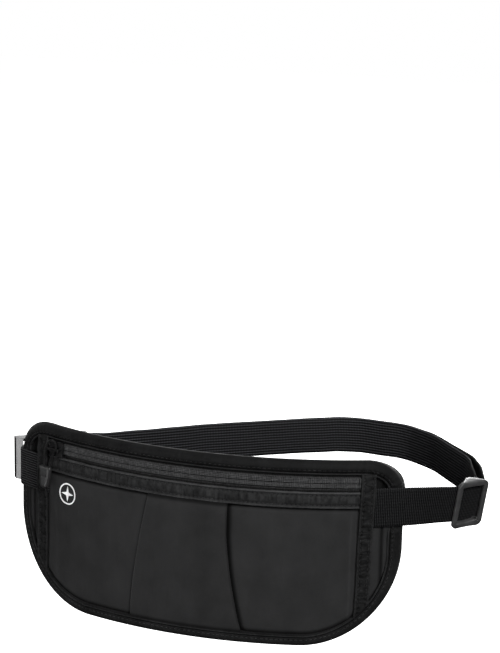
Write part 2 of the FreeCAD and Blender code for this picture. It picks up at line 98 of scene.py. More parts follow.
# zip pull's cord, as in the design, in the slider's own frame
SLIDER_ARC = -96.3
ZIP_Z = 18.0
COIL_PITCH = 1.25
GRIP_Z = -12.9
GRIP_FRONT = -5.3
CORD_RADIUS = 0.8
CORD_Y = -3.5
PULL_LEGS = [(-9.4, -12.9), (-9.8, -6.3), (-8.2, 0.4), (-5.0, 5.4), (0.6, 5.0)]
PULL_LEGS += [(0.9, -0.6), (-3.9, -6.6), (-4.6, -12.9)]


# ---- small tools


def metres(point):
    return tuple(0.001 * value for value in point)


def unit(value):
    """The value, kept between 0 and 1."""
    return min(max(value, 0.0), 1.0)


def ease(low, high, value):
    """Goes smoothly from 0, at low, to 1, at high; low may be the greater."""
    t = unit((value - low) / (high - low))
    return t * t * (3 - 2 * t)


def bell(value, centre, width):
    """A smooth bump of height 1 round centre."""
    return exp(-((value - centre) / width) ** 2)


def lerp(a, b, t):
    return a + (b - a) * t


def wobble(x, y=0.0, z=0.0):
    """Smooth noise from about -1 to 1."""
    return noise.noise(Vector((x, y, z))) * 1.6


def spun(a, b, angle):
    """The pair (a, b) turned by an angle."""
    return a * cos(angle) - b * sin(angle), b * cos(angle) + a * sin(angle)


def turned(x, y, heading, centre):
    """From a part's own plan axes to the plan."""
    dx, dy = spun(x, y, heading)
    return centre[0] + dx, centre[1] + dy


def unturned(x, y, heading, centre):
    """From the plan to a part's own plan axes."""
    return spun(x - centre[0], y - centre[1], -heading)


def circle(count):
    """Evenly spaced angles round a full turn."""
    return [2 * pi * k / count for k in range(count)]


def on_arc(arc):
    """The plan x of an arc position on the pouch's front."""
    return RADIUS * sin(arc / RADIUS)


def sag(z):
    """How far the pouch's filled lower part settles sideways."""
    return 0.9 * ease(-10.0, -60.0, z)


def pouch(x, z, depth):
    """The point at plan x, height z and depth behind the pouch's front."""
    radius = RADIUS - depth
    x += sag(z)
    return (x, AXIS_Y - sqrt(radius * radius - x * x), z)


def along_front(arc, z, depth):
    """The point at an arc position, height and depth, measured square to the front."""
    angle = arc / RADIUS
    radius = RADIUS - depth
    return (radius * sin(angle) + sag(z), AXIS_Y - radius * cos(angle), z)


def shown(name, data):
    """A new object in the scene, with the mesh, curve, lamp or camera data given."""
    thing = bpy.data.objects.new(name, data)
    bpy.context.scene.collection.objects.link(thing)
    return thing


def make_object(name, verts, faces, material, smooth=True):
    """A mesh piece; a point's fourth value is painted shade on its cloth: above zero it darkens the colour,
    below zero it is a painted highlight.
    """
    mesh = bpy.data.meshes.new(name)
    mesh.from_pydata([metres(v[:3]) for v in verts], [], faces)
    mesh.materials.append(material)
    shades = [v[3] if len(v) > 3 else 0.0 for v in verts]
    if any(shades):
        mesh.attributes.new("shade", "FLOAT", "POINT").data.foreach_set("value", shades)
    tidy = bmesh.new()
    tidy.from_mesh(mesh)
    bmesh.ops.recalc_face_normals(tidy, faces=tidy.faces)
    tidy.to_mesh(mesh)
    tidy.free()
    if smooth:
        mesh.polygons.foreach_set("use_smooth", [True] * len(mesh.polygons))
    return shown(name, mesh)


def design(node_name):
    """The object that shows a node of the design."""
    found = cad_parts[node_name]
    return bpy.data.objects[found] if isinstance(found, str) else found


def place(thing, body, slot, *nodes):
    """Says which body a finished piece rides on and hides the design's objects for the nodes it stands for;
    slot is not used.
    """
    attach(thing, body)
    if nodes:
        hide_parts(*nodes)
    return thing


def grid_faces(rows, columns, start=0):
    corners = [start + i * columns + j for i in range(rows - 1) for j in range(columns - 1)]
    return [(a, a + 1, a + columns + 1, a + columns) for a in corners]


def tube_faces(rings, count, start=0, closed=False):
    """Faces of a tube of rings of count points each: capped, or closed on itself as a loop."""
    total = rings * count
    faces = []
    for ring in range(rings if closed else rings - 1):
        for k in range(count):
            a, b = ring * count + k, ring * count + (k + 1) % count
            faces.append(tuple(start + v % total for v in (a, b, b + count, a + count)))
    if not closed:
        faces.append(tuple(start + k for k in reversed(range(count))))
        faces.append(tuple(start + total - count + k for k in range(count)))
    return faces


def add_tube(verts, faces, rings):
    """Joins rings of points into a capped tube."""
    faces.extend(tube_faces(len(rings), len(rings[0]), len(verts)))
    for ring in rings:
        verts.extend(ring)


def sheet(name, rows, columns, thickness, point, material, slot, node_name):
    """A sewn piece: a closed skin round a grid of points and the same grid moved in.

    point(up, across, inside) takes shares of the height and width, and how far it moves in.
    """
    verts = [point(i / (rows - 1), j / (columns - 1), inside)
             for inside in (0.0, thickness) for i in range(rows) for j in range(columns)]
    half = rows * columns
    faces = grid_faces(rows, columns) + [tuple(reversed(f)) for f in grid_faces(rows, columns, half)]
    edge = [(0, j) for j in range(columns)]
    edge += [(i, columns - 1) for i in range(1, rows)]
    edge += [(rows - 1, j) for j in range(columns - 2, -1, -1)]
    edge += [(i, 0) for i in range(rows - 2, 0, -1)]
    for (i, j), (k, m) in zip(edge, edge[1:] + edge[:1]):
        a, b = i * columns + j, k * columns + m
        faces.append((a, a + half, b + half, b))
    return place(make_object(name, verts, faces, material), "pouch", slot, node_name)


def run_lengths(points):
    """The distance along a line of points to each of them."""
    return np.concatenate([[0], np.cumsum(np.linalg.norm(np.diff(points, axis=0), axis=1))])


def along_line(points, distances):
    """The places at the given distances along a line of points."""
    length = run_lengths(points)
    return np.stack([np.interp(distances, length, column) for column in points.T], axis=1)


def even_line(points, step):
    """The line of points again, with its points about a step apart."""
    points = np.array(points, float)
    total = run_lengths(points)[-1]
    return [tuple(p) for p in along_line(points, np.linspace(0, total, int(total / step) + 1))]


def catmull(points, per_run=6, closed=False):
    """A smooth line through points of any dimension."""
    data = [np.array(p, float) for p in points]
    count = len(data)
    line = []
    for i in range(count if closed else count - 1):
        near = range(i - 1, i + 3)
        a, b, c, d = (data[k % count if closed else min(max(k, 0), count - 1)] for k in near)
        for step in range(per_run):
            t = step / per_run
            line.append(0.5 * (2 * b + (c - a) * t + (2 * a - 5 * b + 4 * c - d) * t * t
                               + (3 * b - a - 3 * c + d) * t ** 3))
    if not closed:
        line.append(data[-1])
    return line


# ---- the pouch's outline


def low_edge(x, inset):
    """Height of the pouch's lower outline at plan x, moved inwards by inset."""
    wide = LOWER_CORNER[0] - inset
    tall = LOWER_CORNER[1] - inset
    past = abs(x) - (HALF_LENGTH - LOWER_CORNER[0])
    floor = BOTTOM + inset
    if past <= 0:
        return floor
    share = min(past / wide, 1.0)
    return floor + tall * (1 - sqrt(max(1 - share * share, 0.0)))


def high_edge(x, inset):
    """Height of the pouch's upper outline at plan x, moved inwards by inset."""
    past = abs(x) - (HALF_LENGTH - TOP_CORNER)
    if past <= 0:
        return TOP - inset
    radius = TOP_CORNER - inset
    return TOP - TOP_CORNER + sqrt(max(radius * radius - past * past, 0.0))


def outline(count):
    """Evenly spaced points round the outline from its lowest middle, with their inward normals."""
    wide, tall = LOWER_CORNER
    shares = [k / 160 for k in range(160)]
    raw = [(lerp(0, HALF_LENGTH - wide, t), BOTTOM) for t in shares]
    for t in shares:
        dx, dz = spun(0.0, -1.0, pi / 2 * t)
        raw.append((HALF_LENGTH - wide + wide * dx, BOTTOM + tall + tall * dz))
    raw += [(HALF_LENGTH, lerp(BOTTOM + tall, TOP - TOP_CORNER, t)) for t in shares]
    for t in shares:
        dx, dz = spun(1.0, 0.0, pi / 2 * t)
        raw.append((HALF_LENGTH - TOP_CORNER * (1 - dx), TOP - TOP_CORNER * (1 - dz)))
    raw += [(lerp(HALF_LENGTH - TOP_CORNER, 0, t), TOP) for t in shares]
    raw = np.array(raw + [(-x, z) for x, z in reversed(raw)] + [raw[0]])
    points = along_line(raw, np.linspace(0, run_lengths(raw)[-1], count, endpoint=False))
    ahead = np.roll(points, -1, axis=0) - np.roll(points, 1, axis=0)
    ahead /= np.linalg.norm(ahead, axis=1)[:, None]
    return points, np.stack([-ahead[:, 1], ahead[:, 0]], axis=1)


def edge_profile(top):
    """Cross-section of the bound edge as (inset, depth), from the front seam round to the back.

    top is 1 along the padded rim and 0 at the sides and bottom.
    """
    width = lerp(BINDING_WIDTH, RIM_WIDTH, top)
    crown = 0.7 * top + 0.35
    lean = 0.9 * top
    drop = 3.6 * top + 1.2
    back = EDGE_DEPTH
    points = [
        (width + 0.3, 3.0), (width + 0.25, 1.4), (width + 0.1, 0.1), (width - 0.3, -0.35),
        (width - 0.85, -0.1), (width - 1.15, 1.1), (width - 1.5, 0.35), (width - 2.2, -0.75 * crown),
        (width - 4.0, -crown - 0.1), (1.9, -crown + 0.35 + 0.5 * lean), (0.6, 0.8 + 0.8 * lean),
        (0.05, 2.4 + lean), (0.35 * drop - 0.3, 0.5 * back), (0.7 * drop, back - 2.4),
        (0.5 + drop, back - 0.9), (1.6 + drop, back - 0.1), (width - 1.9, back + 0.3),
        (width - 1.0, back + 0.1), (width - 0.4, back - 0.7), (width + 0.3, back - 2.0),
    ]
    return catmull(points, 3)


def edge_ring():
    """Rows round the whole bound edge, each as its height and the points of one cross-section."""
    points, normals = outline(1440)
    spacing = 0.485
    rows = []
    for index, ((x, z), (nx, nz)) in enumerate(zip(points, normals)):
        top = max(-nz, 0) ** 2
        width = lerp(BINDING_WIDTH, RIM_WIDTH, top)
        ripple = 0.16 * wobble(x * 0.12, z * 0.12, 3.0) + 0.12 * wobble(x * 0.5, z * 0.5, 4.0)
        under_webbing = ease(15.5, 13.0, abs(z - 1.5)) * ease(110.0, 114.0, abs(x))
        dash = cos(2 * pi * index * spacing / STITCH_PITCH)
        row = []
        for inset, depth in edge_profile(top):
            depth += ripple * ease(0.0, 4.0, inset)
            shade = 0.0
            if depth < 3.0:
                seam = bell(inset, width - SEAM_INSET, 0.4)
                depth += seam * (0.42 + 0.3 * dash)
                # Painted light: painted shade in the seam's stitch dips and in the groove by the welt,
                # painted highlights on the welt's crest, and lighter and darker patches following the
                # ripple.
                shade = seam * (0.35 + 0.5 * dash) - 1.25 * ripple
                shade += 0.9 * bell(inset, width - 1.2, 0.3) - 1.5 * bell(inset, width - 0.45, 0.35)
                depth = lerp(depth, max(depth, 1.3), under_webbing)
            row.append(pouch(x + nx * inset, z + nz * inset, depth) + (min(shade, 0.92),))
        rows.append((z, row))
    return rows


def edge_piece(name, keep, material, slot, node_name):
    """The part of the bound edge whose heights satisfy keep, with closed ends."""
    rows = edge_ring()
    chosen = [keep(z) for z, _ in rows]
    first = next(i for i in range(len(rows)) if chosen[i] and not chosen[i - 1])
    ordered = [row for _, row in rows[first:] + rows[:first]][:sum(chosen)]
    verts, faces = [], []
    add_tube(verts, faces, ordered)
    return place(make_object(name, verts, faces, material), "pouch", slot, node_name)


# ---- materials


def set_inputs(made, **values):
    """Sets sockets whose names have spaces written as underlines."""
    for key, value in values.items():
        made.inputs[key.replace("_", " ")].default_value = value
    return made


def node(tree, kind, **values):
    made = tree.nodes.new("ShaderNode" + kind)
    for key, value in values.items():
        setattr(made, key, value)
    return made


def surface(name, roughness, sheen=0.0, specular=0.5, coat=0.0):
    made = bpy.data.materials.new(name)
    made.use_nodes = True
    shader = made.node_tree.nodes["Principled BSDF"]
    set_inputs(shader, Roughness=roughness, Specular_IOR_Level=specular, Sheen_Weight=sheen,
               Sheen_Roughness=0.5, Coat_Weight=coat)
    return made, made.node_tree, shader


def speckles(tree, coordinate, scale, detail, roughness=0.5):
    made = set_inputs(node(tree, "TexNoise"), Scale=scale, Detail=detail, Roughness=roughness)
    tree.links.new(coordinate, made.inputs["Vector"])
    return made.outputs["Fac"]


def two_tone(tree, amount, dark, light, low, high):
    """A colour that goes from dark, where the amount is low, to light, where it is high."""
    ramp = node(tree, "ValToRGB")
    for element, spot, colour in zip(ramp.color_ramp.elements, (low, high), (dark, light)):
        element.position = spot
        element.color = (*colour, 1)
    tree.links.new(amount, ramp.inputs["Fac"])
    return ramp.outputs["Color"]


def waves(tree, coordinate, direction, pitch, distortion=0.0):
    """Bands at a pitch, which is in the coordinate's own unit."""
    made = node(tree, "TexWave", bands_direction=direction)
    set_inputs(made, Scale=2 * pi / (20.0 * pitch), Distortion=distortion, Detail_Scale=2.0)
    tree.links.new(coordinate, made.inputs["Vector"])
    return made.outputs["Fac"]


def combine(tree, operation, a, b):
    made = node(tree, "Math", operation=operation)
    for socket, value in zip(made.inputs, (a, b)):
        if isinstance(value, (int, float)):
            socket.default_value = value
        else:
            tree.links.new(value, socket)
    return made.outputs[0]


def weighted(tree, *parts):
    """The sum of parts, each a value and its weight."""
    total = 0.0
    for value, weight in parts:
        total = combine(tree, "ADD", total, combine(tree, "MULTIPLY", value, weight))
    return total


def bumped(tree, shader, height, distance, strength=1.0, before=None):
    """Roughens a shader by a height in millimetres, over an earlier bump if there is one."""
    bump = set_inputs(node(tree, "Bump"), Strength=strength, Distance=distance * 0.001)
    tree.links.new(height, bump.inputs["Height"])
    if before:
        tree.links.new(before, bump.inputs["Normal"])
    tree.links.new(bump.outputs["Normal"], shader.inputs["Normal"])
    return bump.outputs["Normal"]


def woven(name, dark, light, thread, depth, roughness=0.8, sheen=0.02, specular=0.3, crease=0.0, grain=0.3):
    """Plain-weave cloth: two crossed sets of threads, soft mottling and fine creases."""
    made, tree, shader = surface(name, roughness, sheen, specular)
    spot = node(tree, "TexCoord").outputs["Object"]
    weave = combine(tree, "ADD", *(waves(tree, spot, axis, thread * 0.001) for axis in "XZ"))
    tone = weighted(tree, (speckles(tree, spot, 70.0, 2.0), 1 - grain),
                    (speckles(tree, spot, 700.0, 2.0, 0.6), grain * 0.6), (weave, grain * 0.2))
    # The shade attribute carries painted shade and painted highlights: the colour is scaled by one less the
    # shade.
    shade = node(tree, "Attribute", attribute_name="shade").outputs["Fac"]
    lit = node(tree, "VectorMath", operation="SCALE")
    tree.links.new(two_tone(tree, tone, dark, light, 0.3, 0.7), lit.inputs[0])
    tree.links.new(combine(tree, "SUBTRACT", 1.0, shade), lit.inputs["Scale"])
    tree.links.new(lit.outputs["Vector"], shader.inputs["Base Color"])
    before = None
    if crease:
        stretch = set_inputs(node(tree, "Mapping"), Scale=(260.0, 260.0, 34.0))
        tree.links.new(spot, stretch.inputs["Vector"])
        folds = speckles(tree, stretch.outputs["Vector"], 0.5, 3.0, 0.55)
        before = bumped(tree, shader, folds, crease)
    bumped(tree, shader, weave, depth, 0.7, before)
    return made


def webbing_surface(name, dark, light, pick, row, shares, bump):
    """Webbing: picks across it and warp rows along it, from coordinates along the strap.

    shares are how much of the relief is picks alone and rows alone; the rest is their product.
    """
    made, tree, shader = surface(name, 0.55, 0.02, 0.06)
    flat = node(tree, "UVMap", uv_map="strap").outputs["UV"]
    picks = waves(tree, flat, "X", pick, 0.35)
    rows = waves(tree, flat, "Y", row)
    relief = weighted(tree, (combine(tree, "POWER", picks, 1.6), shares[0]),
                      (combine(tree, "POWER", rows, 1.3), shares[1]),
                      (combine(tree, "MULTIPLY", picks, rows), 1 - shares[0] - shares[1]))
    worn = combine(tree, "ADD", speckles(tree, flat, 1.1, 3.0, 0.7), 0.45)
    # The colour follows the relief: painted shade in the grooves between picks and rows, painted highlights
    # on their crests.
    colour = two_tone(tree, combine(tree, "MULTIPLY", relief, worn), dark, light, 0.2, 0.8)
    tree.links.new(colour, shader.inputs["Base Color"])
    bumped(tree, shader, relief, bump)
    return made


def moulded(name, colour, roughness, grain, coat=0.0, specular=0.5):
    """Moulded plastic or enamel with a fine grain and faint scuffs."""
    made, tree, shader = surface(name, roughness, 0.0, specular, coat)
    spot = node(tree, "TexCoord").outputs["Object"]
    lighter = tuple(c * 1.35 + 0.004 for c in colour)
    mottled = two_tone(tree, speckles(tree, spot, 220.0, 4.0, 0.6), colour, lighter, 0.35, 0.65)
    tree.links.new(mottled, shader.inputs["Base Color"])
    spread = set_inputs(node(tree, "MapRange"), To_Min=max(roughness - 0.08, 0.05), To_Max=roughness + 0.12)
    tree.links.new(speckles(tree, spot, 140.0, 5.0, 0.7), spread.inputs["Value"])
    tree.links.new(spread.outputs["Result"], shader.inputs["Roughness"])
    bumped(tree, shader, speckles(tree, spot, 2600.0, 2.0), grain)
    return made


SHELL = woven("shell_nylon", (0.0185, 0.0186, 0.0189), (0.0245, 0.0246, 0.025),
              thread=0.45, depth=0.04, roughness=0.7, specular=0.05, crease=0.3)
RIM = woven("rim_tape", (0.0044, 0.0045, 0.0046), (0.0098, 0.0099, 0.0101),
            thread=0.35, depth=0.05, roughness=0.55, specular=0.06, crease=0.2, grain=0.5)
TRIM = woven("trim_tape", (0.0035, 0.0036, 0.0037), (0.0135, 0.0136, 0.0138),
             thread=0.7, depth=0.12, roughness=0.6, specular=0.07, crease=0.35, grain=0.6)
FACING = woven("facing_tape", (0.0075, 0.0076, 0.0078), (0.027, 0.0272, 0.0276),
               thread=0.7, depth=0.12, roughness=0.6, specular=0.07, crease=0.35, grain=0.6)
LINING = woven("lining_cloth", (0.02, 0.02, 0.022), (0.03, 0.03, 0.032), thread=0.3, depth=0.03, sheen=0.1)
PADDING = woven("padding_foam", (0.03, 0.03, 0.033), (0.045, 0.045, 0.048),
                thread=0.9, depth=0.1, sheen=0.1)
TAPE = woven("zip_tape_weave", (0.004, 0.004, 0.0041), (0.046, 0.0462, 0.047),
             thread=1.0, depth=0.3, roughness=0.65, specular=0.08, grain=0.85)
BACK = woven("back_mesh_cloth", (0.012, 0.0121, 0.0127), (0.034, 0.0344, 0.0354),
             thread=1.1, depth=0.3, roughness=0.75, specular=0.06, grain=0.6)
THREAD = woven("sewing_thread", (0.012, 0.012, 0.0125), (0.028, 0.028, 0.029),
               thread=0.2, depth=0.03, roughness=0.45, specular=0.15)
CORDAGE = woven("pull_cord_braid", (0.002, 0.002, 0.0021), (0.014, 0.014, 0.0143),
                thread=0.5, depth=0.15, roughness=0.5, specular=0.12, grain=0.7)
WEB = webbing_surface("strap_webbing", (0.0003, 0.0003, 0.0004), (0.024, 0.0243, 0.0254),
                      pick=1.15, row=1.9, shares=(0.72, 0.0), bump=0.3)
WEB_INNER = webbing_surface("strap_webbing_inner", (0.003, 0.0031, 0.0034), (0.05, 0.051, 0.055),
                            pick=1.15, row=1.9, shares=(0.2, 0.5), bump=0.3)
TAB_WEB = webbing_surface("tab_webbing", (0.0005, 0.0005, 0.0006), (0.034, 0.0345, 0.036),
                          pick=1.9, row=1.55, shares=(0.0, 1.0), bump=0.35)
COIL = moulded("coil_nylon", (0.008, 0.008, 0.0083), roughness=0.4, grain=0.005, specular=0.25)
ENAMEL = moulded("slider_enamel", (0.0025, 0.0025, 0.0028), roughness=0.3, grain=0.003, specular=0.25)
PULL = moulded("pull_plastic", (0.013, 0.013, 0.0133), roughness=0.38, grain=0.01)
SATIN = moulded("adjuster_plastic", (0.034, 0.034, 0.0345), roughness=0.31, grain=0.012)
GLOSS = moulded("buckle_plastic", (0.008, 0.008, 0.0084), roughness=0.2, grain=0.004, coat=0.2)
INK = moulded("print_ink", (0.78, 0.78, 0.78), roughness=0.55, grain=0.02)


# ---- cloth panels of the pouch


def panel_depth(x, z):
    """Depth and shade of the side panels: filled out in the middle, flat under tapes and webbing."""
    wide = abs(x)
    across = unit((wide - 20.0) / 82.0)
    height = unit((z - BOTTOM - 7.0) / 82.0)
    fill = sin(pi * across) ** 0.7 * sin(pi * height) ** 0.8
    flat = 1 - ease(96.0, 101.0, wide)
    creases = 0.34 * wobble(x * 0.085, z * 0.012, 1.0) + 0.16 * wobble(x * 0.21, z * 0.03, 5.0)
    tension = 0.3 * wobble((x + z) * 0.045, (x - z) * 0.02, 8.0)
    loose = ease(0.0, 0.16, height) * ease(0.0, 0.12, 1 - height)
    ridge = 0.45 * bell(x, 97.6, 0.9) * ease(4.0, -12.0, z)
    outer = 0.5 * wobble(x * 0.16, z * 0.05, 11.0) * ease(112.0, 116.0, wide)
    outer *= ease(-14.0, -24.0, z)
    beside = 0.9 * bell(wide, 104.2, 1.2) * ease(3.0, 0.0, z) + 0.9 * bell(wide, 114.8, 1.0)
    beside += 1.0 * ease(3.4, 0.6, z - low_edge(x, BINDING_WIDTH)) + 0.9 * ease(-1.2, 0.8, z)
    if x > 0:
        beside += 1.1 * bell(x, edge_x(1, z), 1.9)
    else:
        beside += 0.4 * bell(x, edge_x(-1, z), 1.4)
    # The shade is painted: painted shade beside the side tapes, the binding, the facing band and the
    # pleat's folds, and painted highlights on the ridge and on crease crests.
    depth = 1.35 - 1.5 * fill * flat - (creases + tension) * flat * loose - ridge - abs(outer) + beside
    return depth, min(0.85 * beside, 0.9) - 0.5 * ridge - 0.12 * creases * flat


def side_panel(side):
    """One side of the front, from under the pleat to the bound edge."""
    inner = 13.0
    outer = HALF_LENGTH - BINDING_WIDTH + 0.6

    def point(up, across, inside):
        x = side * (inner + (outer - inner) * (1 - (1 - across) ** 1.25))
        low = low_edge(x, BINDING_WIDTH - 0.6)
        high = lerp(3.4, high_edge(x, RIM_WIDTH - 0.9), ease(104.0, 107.0, abs(x)))
        z = lerp(low, high, up)
        depth, shade = panel_depth(x, z)
        return pouch(x, z, depth + inside) + (shade,)

    word = SIDES[side]
    sheet("shell_panel_" + word, 90, 150, 0.7, point, SHELL, "shell_fabric", "front_panel_" + word)


PLEAT_LEFT = [(2.4, -27.5), (-30.0, -33.5), (-57.0, -37.6), (-81.0, -39.0)]
PLEAT_RIGHT = [(2.4, 23.6), (-10.0, 23.8), (-24.0, 24.3), (-47.0, 26.9), (-66.0, 30.6), (-81.0, 34.2)]
PLEAT_LINES = {}
for pleat_side, line_points in ((-1, PLEAT_LEFT), (1, PLEAT_RIGHT)):
    smooth_line = np.array(catmull(line_points, 8))[::-1]
    PLEAT_LINES[pleat_side] = (smooth_line[:, 0], smooth_line[:, 1])


def edge_x(side, z):
    """Plan x of the pleat's folded edge at a height."""
    heights, places = PLEAT_LINES[side]
    return float(np.interp(z, heights, places))


def pleat():
    """The box pleat's face, whose right fold stands off the panel under it."""
    def point(up, across, inside):
        share = 0.5 - 0.5 * cos(pi * across)
        z = lerp(BOTTOM + BINDING_WIDTH - 0.6, 3.0, up)
        left = edge_x(-1, z)
        right = edge_x(1, z)
        x = lerp(left, right, share)
        away = min(x - left, right - x)
        fold = 0.0 if inside else 0.8 * (1 - sqrt(max(1 - (1 - min(away, 1.0)) ** 2, 0.0)))
        loose = ease(0.0, 0.12, up) * ease(0.0, 0.1, 1 - up)
        crown = 0.55 * sin(pi * share) ** 0.8
        lift = (0.45 + 0.9 * ease(0.55, 1.0, share)) * loose
        creases = 0.3 * wobble(x * 0.09, z * 0.014, 21.0) + 0.14 * wobble(x * 0.25, z * 0.03, 25.0)
        depth = 0.15 - (crown + creases) * loose - lift
        # Painted light: a painted highlight along the left fold and painted shade along the right fold,
        # painted highlights and shade on the creases, painted shade under the facing band and along the
        # binding, and a soft band of painted shade left of the right fold.
        crest = -0.8 if x - left < right - x else 0.25
        shade = crest * bell(away, 0.4, 0.4) * loose - 0.15 * creases
        shade += 0.7 * ease(-1.2, 0.8, z) + 0.75 * ease(3.2, 0.8, z - BOTTOM - BINDING_WIDTH)
        shade += 0.16 * bell(share, 0.72, 0.12) * loose
        return pouch(x, z, depth + fold + inside) + (shade,)

    sheet("shell_box_pleat", 100, 96, 0.9, point, SHELL, "shell_fabric", "front_panel_centre")


def facing_depth(arc, z):
    """Depth and shade of the band under the zip: folded edges, two rows of stitches and puckers."""
    share = (z - FACING_Z[0]) / (FACING_Z[1] - FACING_Z[0])
    lip = bell(share, 0.94, 0.06)
    hem = bell(share, 0.05, 0.06)
    rows = bell(share, 0.8, 0.05) + bell(share, 0.2, 0.05)
    wave = cos(2 * pi * arc / STITCH_PITCH)
    belly = sin(pi * unit((share - 0.2) / 0.6))
    pucker = 0.32 * wobble(arc * 0.42, z * 0.1, 31.0) + 0.22 * wobble(arc * 1.0, z * 0.2, 33.0)
    depth = rows * (0.4 + 0.28 * wave) - 0.55 * lip - 0.45 * hem - 0.5 * belly
    depth -= pucker * (0.35 + 0.6 * belly)
    # The shade is painted: painted shade along the stitch rows, painted highlights on the folded lip, the
    # hem and the pucker crests.
    shade = rows * (0.3 + 0.45 * wave) - 1.7 * lip - 0.9 * hem - 1.0 * pucker * (0.3 + belly)
    return depth, min(shade, 0.9)


def facing_band():
    def point(up, across, inside):
        arc = lerp(-105.2, 105.2, across)
        z = lerp(*FACING_Z, up) + 0.12 * wobble(arc * 0.2, up * 0.6, 37.0)
        roll = 0.0 if inside else 0.55 * max(abs(up - 0.5) * 2 - 0.93, 0.0) / 0.07
        depth, shade = facing_depth(arc, z)
        return along_front(arc, z, depth + roll + inside) + (shade,)

    sheet("facing_band", 26, 620, 0.9, point, FACING, "trim_fabric", "zip_facing_band")


def band_depth(side, across, z):
    """Depth and shade of a folded side tape: over the webbing, then settling onto the panel below."""
    base = lerp(-1.15, -0.1, ease(-11.0, -20.0, z))
    base = lerp(base, -0.6, ease(15.0, 22.0, z))
    edges = bell(abs(across), 0.84, 0.13)
    seams = bell(abs(across), 0.52, 0.1)
    wave = cos(2 * pi * z / STITCH_PITCH)
    pucker = 0.5 * wobble(z * 0.34, across * 0.7, 41.0 + side) * (1 - across * across)
    pucker += 0.25 * wobble(z * 0.9, across * 1.5, 43.0 + side)
    depth = base - 0.75 * edges + seams * (0.35 + 0.25 * wave) - 0.2 - pucker
    # The shade is painted: painted shade along the seams and at the tape's outermost borders, painted
    # highlights on its raised edges and pucker crests.
    shade = seams * (0.35 + 0.4 * wave) - 0.9 * edges - 1.1 * pucker
    shade += 1.6 * ease(0.93, 1.0, abs(across))
    return depth, min(shade, 0.92)


def tape_arc(side, across, up):
    """Arc position on a side tape, which drifts to the left towards its lower end."""
    return side * SIDE_TAPE_ARC + across * SIDE_TAPE_HALF - 1.2 * (1 - up) ** 1.5


def side_tape(side):
    def point(up, across, inside):
        across = lerp(-1.0, 1.0, across)
        x = on_arc(side * SIDE_TAPE_ARC + across * SIDE_TAPE_HALF)
        z = lerp(low_edge(x, BINDING_WIDTH - 1.5), TOP - RIM_WIDTH + 0.4, up)
        arc = tape_arc(side, across, up) + 0.1 * wobble(z * 0.2, side * 3.0, 47.0)
        roll = 0.0 if inside else 0.6 * max(abs(across) - 0.9, 0.0) / 0.1
        depth, shade = band_depth(side, across, z)
        return along_front(arc, z, depth + roll + inside) + (shade,)

    word = SIDES[side]
    sheet("side_tape_" + word, 260, 26, 1.0, point, TRIM, "trim_fabric", "side_band_" + word)


def back_cloth():
    """The panel against the body: a thin pad with a crowned face and a sewn border."""
    outer = HALF_LENGTH - BINDING_WIDTH + 0.4

    def point(up, across, inside):
        x = lerp(-outer, outer, 0.5 - 0.5 * cos(pi * across))
        low = low_edge(x, BINDING_WIDTH - 0.4)
        high = high_edge(x, RIM_WIDTH - 0.6)
        z = lerp(low, high, up)
        near = min(outer - abs(x), z - low, high - z)
        crown = ease(0.0, 7.0, near)
        ripple = 0.14 * wobble(x * 0.05, z * 0.05, 51.0) * crown
        ripple += 0.1 * wobble(x * 0.3, z * 0.3, 53.0) * (1 - crown)
        # Painted shade along the sewn border, where the crowned face drops to it.
        shade = 0.6 * ease(2.2, 0.6, near)
        return pouch(x, z, EDGE_DEPTH + 0.75 * crown + ripple + inside) + (shade,)

    thing = sheet("back_cloth", 70, 120, -0.5, point, BACK, "shell_fabric", "back_panel")


# ---- stitches


def thread_rings(start, end, out, radius):
    """A short thread from start to end, lying on a surface whose outward direction is out."""
    axis = (end - start).normalized()
    across = axis.cross(out).normalized()
    rings = []
    for share, wide in ((0.0, 0.05), (0.12, 0.75), (0.3, 1.0), (0.7, 1.0), (0.88, 0.75), (1.0, 0.05)):
        dip = -0.35 * radius * (abs(share - 0.5) * 2) ** 3
        centre = start.lerp(end, share) + out * dip
        rings.append([tuple(centre + (across * cos(a) + out * sin(a) * 0.8) * radius * wide)
                      for a in circle(6)])
    return rings


def stitch_row(name, path, stitch=2.1, radius=0.23):
    """A row of lockstitches along path, a list of (point, outward direction)."""
    gap = 0.75
    points, outs = (np.array(column) for column in zip(*path))
    length = run_lengths(points)

    def at(distance, values):
        return Vector([np.interp(distance, length, column) for column in values.T])

    verts, faces = [], []
    for start in np.arange(gap, length[-1] - stitch, stitch + gap):
        ends = at(start, points), at(start + stitch, points)
        add_tube(verts, faces, thread_rings(*ends, at(start, outs).normalized(), radius))
    place(make_object(name, verts, faces, THREAD), "pouch", "trim_fabric")


def outward(x):
    """The pouch's outward direction at plan x."""
    return (x / RADIUS, -sqrt(1 - (x / RADIUS) ** 2), 0.0)


